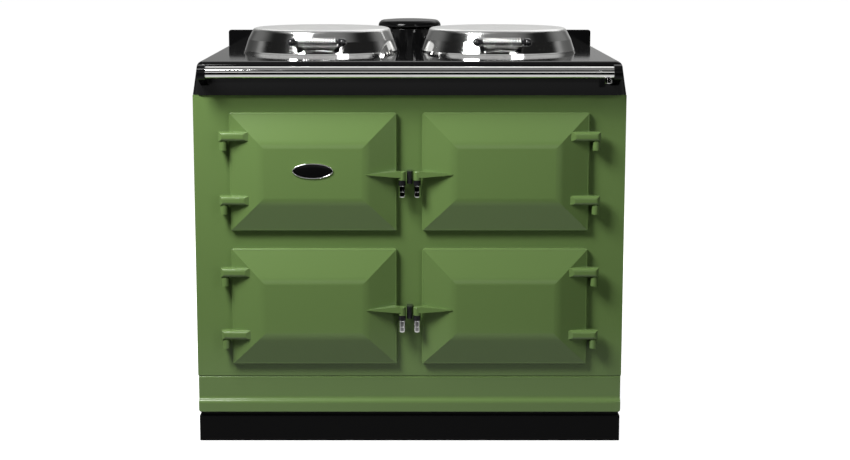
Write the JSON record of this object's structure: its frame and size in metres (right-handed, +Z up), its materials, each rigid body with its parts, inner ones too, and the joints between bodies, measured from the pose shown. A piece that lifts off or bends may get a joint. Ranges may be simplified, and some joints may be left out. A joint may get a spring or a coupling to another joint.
{
  "type": "cast iron range cooker",
  "caption": "Heat-storage range cooker with hinged cast oven doors, domed hotplate lids with wire-wound handles, a front rail, a rear upstand and a flue cap.",
  "frame": {"origin": "bottom centre of the overall box, on the floor", "axes": "+X to the cook's right, -Y is the front with the doors and rail, +Z up"},
  "size_m": [0.987, 0.765, 0.956],
  "materials": {
    "green_enamel": "gloss",
    "black_enamel": "gloss",
    "polished_steel": "polished",
    "cast_iron": "machined and seasoned",
    "sheet_steel": "galvanised",
    "black_trim": "gloss",
    "rope_seal": "woven",
    "insulation": "matt"
  },
  "bodies": {
    "range": {"plinth": "black_enamel", "base_plate": "black_enamel", "base_panel": "green_enamel", "front_plate": "green_enamel", "side_panels": "green_enamel", "back_panel": "sheet_steel", "top_plate": "black_enamel", "upstand": "black_enamel", "flue_outlet": "black_enamel", "flue_cap": "black_enamel", "flue_duct": "sheet_steel", "hotplates": "cast_iron", "hotplate_rings": "polished_steel", "element_pans": "sheet_steel", "hotplate_elements": "cast_iron", "roasting_oven": "cast_iron", "simmering_oven": "cast_iron", "baking_oven": "cast_iron", "oven_shelves": "polished_steel", "oven_elements": "cast_iron", "control_box": "sheet_steel", "control_panel": "sheet_steel", "insulation": "insulation", "handrail": "polished_steel", "rail_brackets": "black_enamel", "hinge_pintles": "green_enamel", "door_catches": "black_trim", "lid_hinge_brackets": "black_enamel", "terminal_cover": "sheet_steel", "cable_gland": "black_trim"},
    "control_door": {"control_door": "green_enamel", "control_door_liner": "sheet_steel", "control_door_seal": "rope_seal", "control_door_grip": "polished_steel"},
    "roasting_door": {"roasting_door": "green_enamel", "roasting_door_liner": "sheet_steel", "roasting_door_seal": "rope_seal", "roasting_door_grip": "polished_steel"},
    "baking_door": {"baking_door": "green_enamel", "baking_door_liner": "sheet_steel", "baking_door_seal": "rope_seal", "baking_door_grip": "polished_steel"},
    "simmering_door": {"simmering_door": "green_enamel", "simmering_door_liner": "sheet_steel", "simmering_door_seal": "rope_seal", "simmering_door_grip": "polished_steel"},
    "left_lid": {"left_lid": "polished_steel", "left_lid_liner": "sheet_steel", "left_lid_hinge": "polished_steel", "left_lid_handle": "black_trim", "left_lid_coil": "polished_steel"},
    "right_lid": {"right_lid": "polished_steel", "right_lid_liner": "sheet_steel", "right_lid_hinge": "polished_steel", "right_lid_handle": "black_trim", "right_lid_coil": "polished_steel"},
    "roasting_knob": {"roasting_knob": "black_trim"},
    "simmering_knob": {"simmering_knob": "black_trim"},
    "baking_knob": {"baking_knob": "black_trim"}
  },
  "joints": [
    {"name": "control_door_hinge", "type": "hinge", "parent": "range", "child": "control_door", "pos_m": [-0.422, -0.3355, 0.63475], "axis": [0, 0, -1], "range_deg": [0, 165]},
    {"name": "roasting_door_hinge", "type": "hinge", "parent": "range", "child": "roasting_door", "pos_m": [0.422, -0.3355, 0.63475], "axis": [0, 0, 1], "range_deg": [0, 165]},
    {"name": "baking_door_hinge", "type": "hinge", "parent": "range", "child": "baking_door", "pos_m": [-0.422, -0.3355, 0.32225], "axis": [0, 0, -1], "range_deg": [0, 165]},
    {"name": "simmering_door_hinge", "type": "hinge", "parent": "range", "child": "simmering_door", "pos_m": [0.422, -0.3355, 0.32225], "axis": [0, 0, 1], "range_deg": [0, 165]},
    {"name": "left_lid_hinge", "type": "hinge", "parent": "range", "child": "left_lid", "pos_m": [-0.2165, 0.2505, 0.9095], "axis": [-1, 0, 0], "range_deg": [0, 80]},
    {"name": "right_lid_hinge", "type": "hinge", "parent": "range", "child": "right_lid", "pos_m": [0.2165, 0.2505, 0.9095], "axis": [-1, 0, 0], "range_deg": [0, 80]},
    {"name": "roasting_knob_turn", "type": "hinge", "parent": "range", "child": "roasting_knob", "pos_m": [-0.3085, -0.2415, 0.63475], "axis": [0, 1, 0], "range_deg": [0, 270]},
    {"name": "simmering_knob_turn", "type": "hinge", "parent": "range", "child": "simmering_knob", "pos_m": [-0.2185, -0.2415, 0.63475], "axis": [0, 1, 0], "range_deg": [0, 270]},
    {"name": "baking_knob_turn", "type": "hinge", "parent": "range", "child": "baking_knob", "pos_m": [-0.1285, -0.2415, 0.63475], "axis": [0, 1, 0], "range_deg": [0, 270]}
  ]
}
